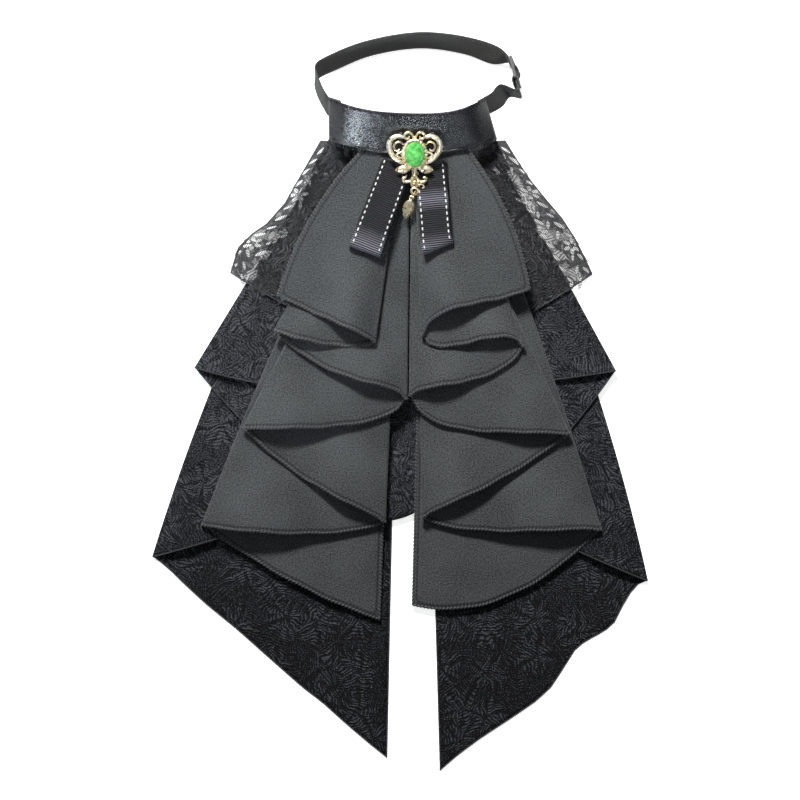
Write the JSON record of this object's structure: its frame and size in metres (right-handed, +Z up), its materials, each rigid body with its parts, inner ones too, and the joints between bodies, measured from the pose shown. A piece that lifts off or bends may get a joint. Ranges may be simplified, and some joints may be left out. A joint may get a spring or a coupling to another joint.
{
  "type": "jabot",
  "caption": "Black jabot lying face up: glossy collar on an elastic neck strap, folded chiffon cascades over lace tails, ribbon loops and a brooch.",
  "frame": {"origin": "middle of the bounding box in plan, on the surface that the jabot lies on", "axes": "+X to the right seen from above, +Y towards the neck along the length, +Z up from the surface"},
  "size_m": [0.2838, 0.4232, 0.0322],
  "materials": {
    "collar": "glossy black band",
    "strap": "woven black elastic",
    "slider": "black moulded plastic",
    "chiffon": "matt black plain weave with overlocked hems",
    "lace": "black floral lace",
    "ribbon": "black ribbed ribbon with white running stitches",
    "brooch_metal": "pale gold plate with small clear crystals",
    "stone": "faceted green glass"
  },
  "bodies": {
    "root": {"collar_band": "collar", "neck_strap": "strap", "strap_end": "strap", "strap_slider": "slider", "chiffon_left": "chiffon", "chiffon_right": "chiffon", "lace_yoke_left": "lace", "lace_yoke_right": "lace", "lace_cascade_left": "lace", "lace_cascade_right": "lace", "lace_centre": "lace", "ribbon_left": "ribbon", "ribbon_right": "ribbon", "brooch_frame": "brooch_metal", "brooch_stone": "stone", "brooch_jump_ring": "brooch_metal", "brooch_pendant": "brooch_metal"}
  },
  "joints": []
}
